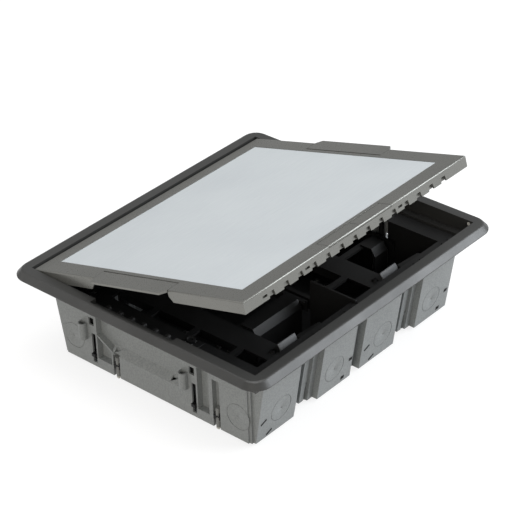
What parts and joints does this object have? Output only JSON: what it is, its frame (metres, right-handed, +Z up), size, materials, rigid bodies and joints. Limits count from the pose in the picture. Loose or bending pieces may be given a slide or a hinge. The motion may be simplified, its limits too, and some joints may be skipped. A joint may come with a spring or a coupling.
{
  "type": "floor socket box",
  "caption": "Rectangular in-floor box with a hinged recessed lid, side cable outlets under hinged flaps, and black carriers for socket modules.",
  "frame": {"origin": "centre of the footprint, level with the tips of the levelling feet", "axes": "+Z up; the lid's hinge runs along X near +Y, and the cable outlets are in the -X and +X sides"},
  "size_m": [0.323, 0.2832, 0.1521],
  "materials": {
    "tub_plastic": "moulded, satin",
    "surround_plastic": "moulded, satin",
    "black_plastic": "moulded, satin",
    "trim_metal": "satin",
    "insert_steel": "fine matt",
    "zinc_steel": "zinc plated",
    "spring_steel": "black oxide",
    "pale_plastic": "moulded"
  },
  "bodies": {
    "box": {"tub": "tub_plastic", "surround_frame": "surround_plastic", "frame_screws": "zinc_steel", "ledge_clips": "black_plastic", "outlet_comb_left": "black_plastic", "outlet_comb_right": "black_plastic", "hinge_pin_left": "zinc_steel", "hinge_pin_right": "zinc_steel", "carrier_left": "black_plastic", "carrier_right": "black_plastic", "cable_hood": "black_plastic", "cable_strap": "black_plastic", "partition": "black_plastic", "carrier_standoffs": "black_plastic", "carrier_screws": "zinc_steel", "floor_rivets": "zinc_steel", "foot_clips": "spring_steel", "inner_frame": "black_plastic", "floor_plate": "black_plastic"},
    "lid": {"lid_tray": "trim_metal", "lid_insert": "insert_steel", "lid_ribs": "trim_metal", "flap_pin_left": "zinc_steel", "flap_pin_right": "zinc_steel", "handle_pin": "zinc_steel"},
    "outlet_flap_left": {"outlet_flap_left": "trim_metal"},
    "outlet_flap_right": {"outlet_flap_right": "trim_metal"},
    "lift_handle": {"lift_handle": "trim_metal"},
    "clamp_screw_rear_left": {"clamp_screw_rear_left": "zinc_steel"},
    "clamp_claw_rear_left": {"clamp_claw_rear_left": "zinc_steel"},
    "clamp_screw_front_left": {"clamp_screw_front_left": "zinc_steel"},
    "clamp_claw_front_left": {"clamp_claw_front_left": "zinc_steel"},
    "levelling_foot_rear_left": {"levelling_foot_rear_left": "pale_plastic"},
    "levelling_foot_front_left": {"levelling_foot_front_left": "pale_plastic"},
    "clamp_screw_rear_right": {"clamp_screw_rear_right": "zinc_steel"},
    "clamp_claw_rear_right": {"clamp_claw_rear_right": "zinc_steel"},
    "clamp_screw_front_right": {"clamp_screw_front_right": "zinc_steel"},
    "clamp_claw_front_right": {"clamp_claw_front_right": "zinc_steel"},
    "levelling_foot_rear_right": {"levelling_foot_rear_right": "pale_plastic"},
    "levelling_foot_front_right": {"levelling_foot_front_right": "pale_plastic"}
  },
  "joints": [
    {"name": "lid_hinge", "type": "hinge", "parent": "box", "child": "lid", "pos_m": [0, 0.1217, 0.083], "axis": [-1, 0, 0], "range_deg": [-15.1, 74.9]},
    {"name": "outlet_flap_right_hinge", "type": "hinge", "parent": "lid", "child": "outlet_flap_right", "pos_m": [0.1344, 0.00827, 0.11713], "axis": [0, -0.9655, 0.2605], "range_deg": [0, 95]},
    {"name": "outlet_flap_left_hinge", "type": "hinge", "parent": "lid", "child": "outlet_flap_left", "pos_m": [-0.1344, 0.00827, 0.11713], "axis": [0, 0.9655, -0.2605], "range_deg": [0, 95]},
    {"name": "lift_handle_hinge", "type": "hinge", "parent": "lid", "child": "lift_handle", "pos_m": [0, -0.1056, 0.14785], "axis": [-1, 0, 0], "range_deg": [0, 75]},
    {"name": "clamp_claw_rear_left_slide", "type": "slide", "parent": "box", "child": "clamp_claw_rear_left", "axis": [0, 0, 1], "range_m": [0, 0.014]},
    {"name": "clamp_screw_rear_left_turn", "type": "hinge", "parent": "box", "child": "clamp_screw_rear_left", "pos_m": [-0.1277, 0.077, 0.072], "axis": [0, 0, 1], "range_deg": [0, 5041]},
    {"name": "clamp_claw_front_left_slide", "type": "slide", "parent": "box", "child": "clamp_claw_front_left", "axis": [0, 0, 1], "range_m": [0, 0.014]},
    {"name": "clamp_screw_front_left_turn", "type": "hinge", "parent": "box", "child": "clamp_screw_front_left", "pos_m": [-0.1277, -0.0398, 0.072], "axis": [0, 0, 1], "range_deg": [0, 5041]},
    {"name": "levelling_foot_rear_left_slide", "type": "slide", "parent": "box", "child": "levelling_foot_rear_left", "axis": [0, 0, -1], "range_m": [0, 0.01]},
    {"name": "levelling_foot_front_left_slide", "type": "slide", "parent": "box", "child": "levelling_foot_front_left", "axis": [0, 0, -1], "range_m": [0, 0.01]},
    {"name": "clamp_claw_rear_right_slide", "type": "slide", "parent": "box", "child": "clamp_claw_rear_right", "axis": [0, 0, 1], "range_m": [0, 0.014]},
    {"name": "clamp_screw_rear_right_turn", "type": "hinge", "parent": "box", "child": "clamp_screw_rear_right", "pos_m": [0.1277, 0.077, 0.072], "axis": [0, 0, 1], "range_deg": [0, 5041]},
    {"name": "clamp_claw_front_right_slide", "type": "slide", "parent": "box", "child": "clamp_claw_front_right", "axis": [0, 0, 1], "range_m": [0, 0.014]},
    {"name": "clamp_screw_front_right_turn", "type": "hinge", "parent": "box", "child": "clamp_screw_front_right", "pos_m": [0.1277, -0.0398, 0.072], "axis": [0, 0, 1], "range_deg": [0, 5041]},
    {"name": "levelling_foot_rear_right_slide", "type": "slide", "parent": "box", "child": "levelling_foot_rear_right", "axis": [0, 0, -1], "range_m": [0, 0.01]},
    {"name": "levelling_foot_front_right_slide", "type": "slide", "parent": "box", "child": "levelling_foot_front_right", "axis": [0, 0, -1], "range_m": [0, 0.01]}
  ],
  "couplings": [
    {"joint": "clamp_screw_rear_left_turn", "follows": "clamp_claw_rear_left_slide", "rad_per_m": 6283.2},
    {"joint": "clamp_screw_front_left_turn", "follows": "clamp_claw_front_left_slide", "rad_per_m": 6283.2},
    {"joint": "clamp_screw_rear_right_turn", "follows": "clamp_claw_rear_right_slide", "rad_per_m": 6283.2},
    {"joint": "clamp_screw_front_right_turn", "follows": "clamp_claw_front_right_slide", "rad_per_m": 6283.2}
  ]
}
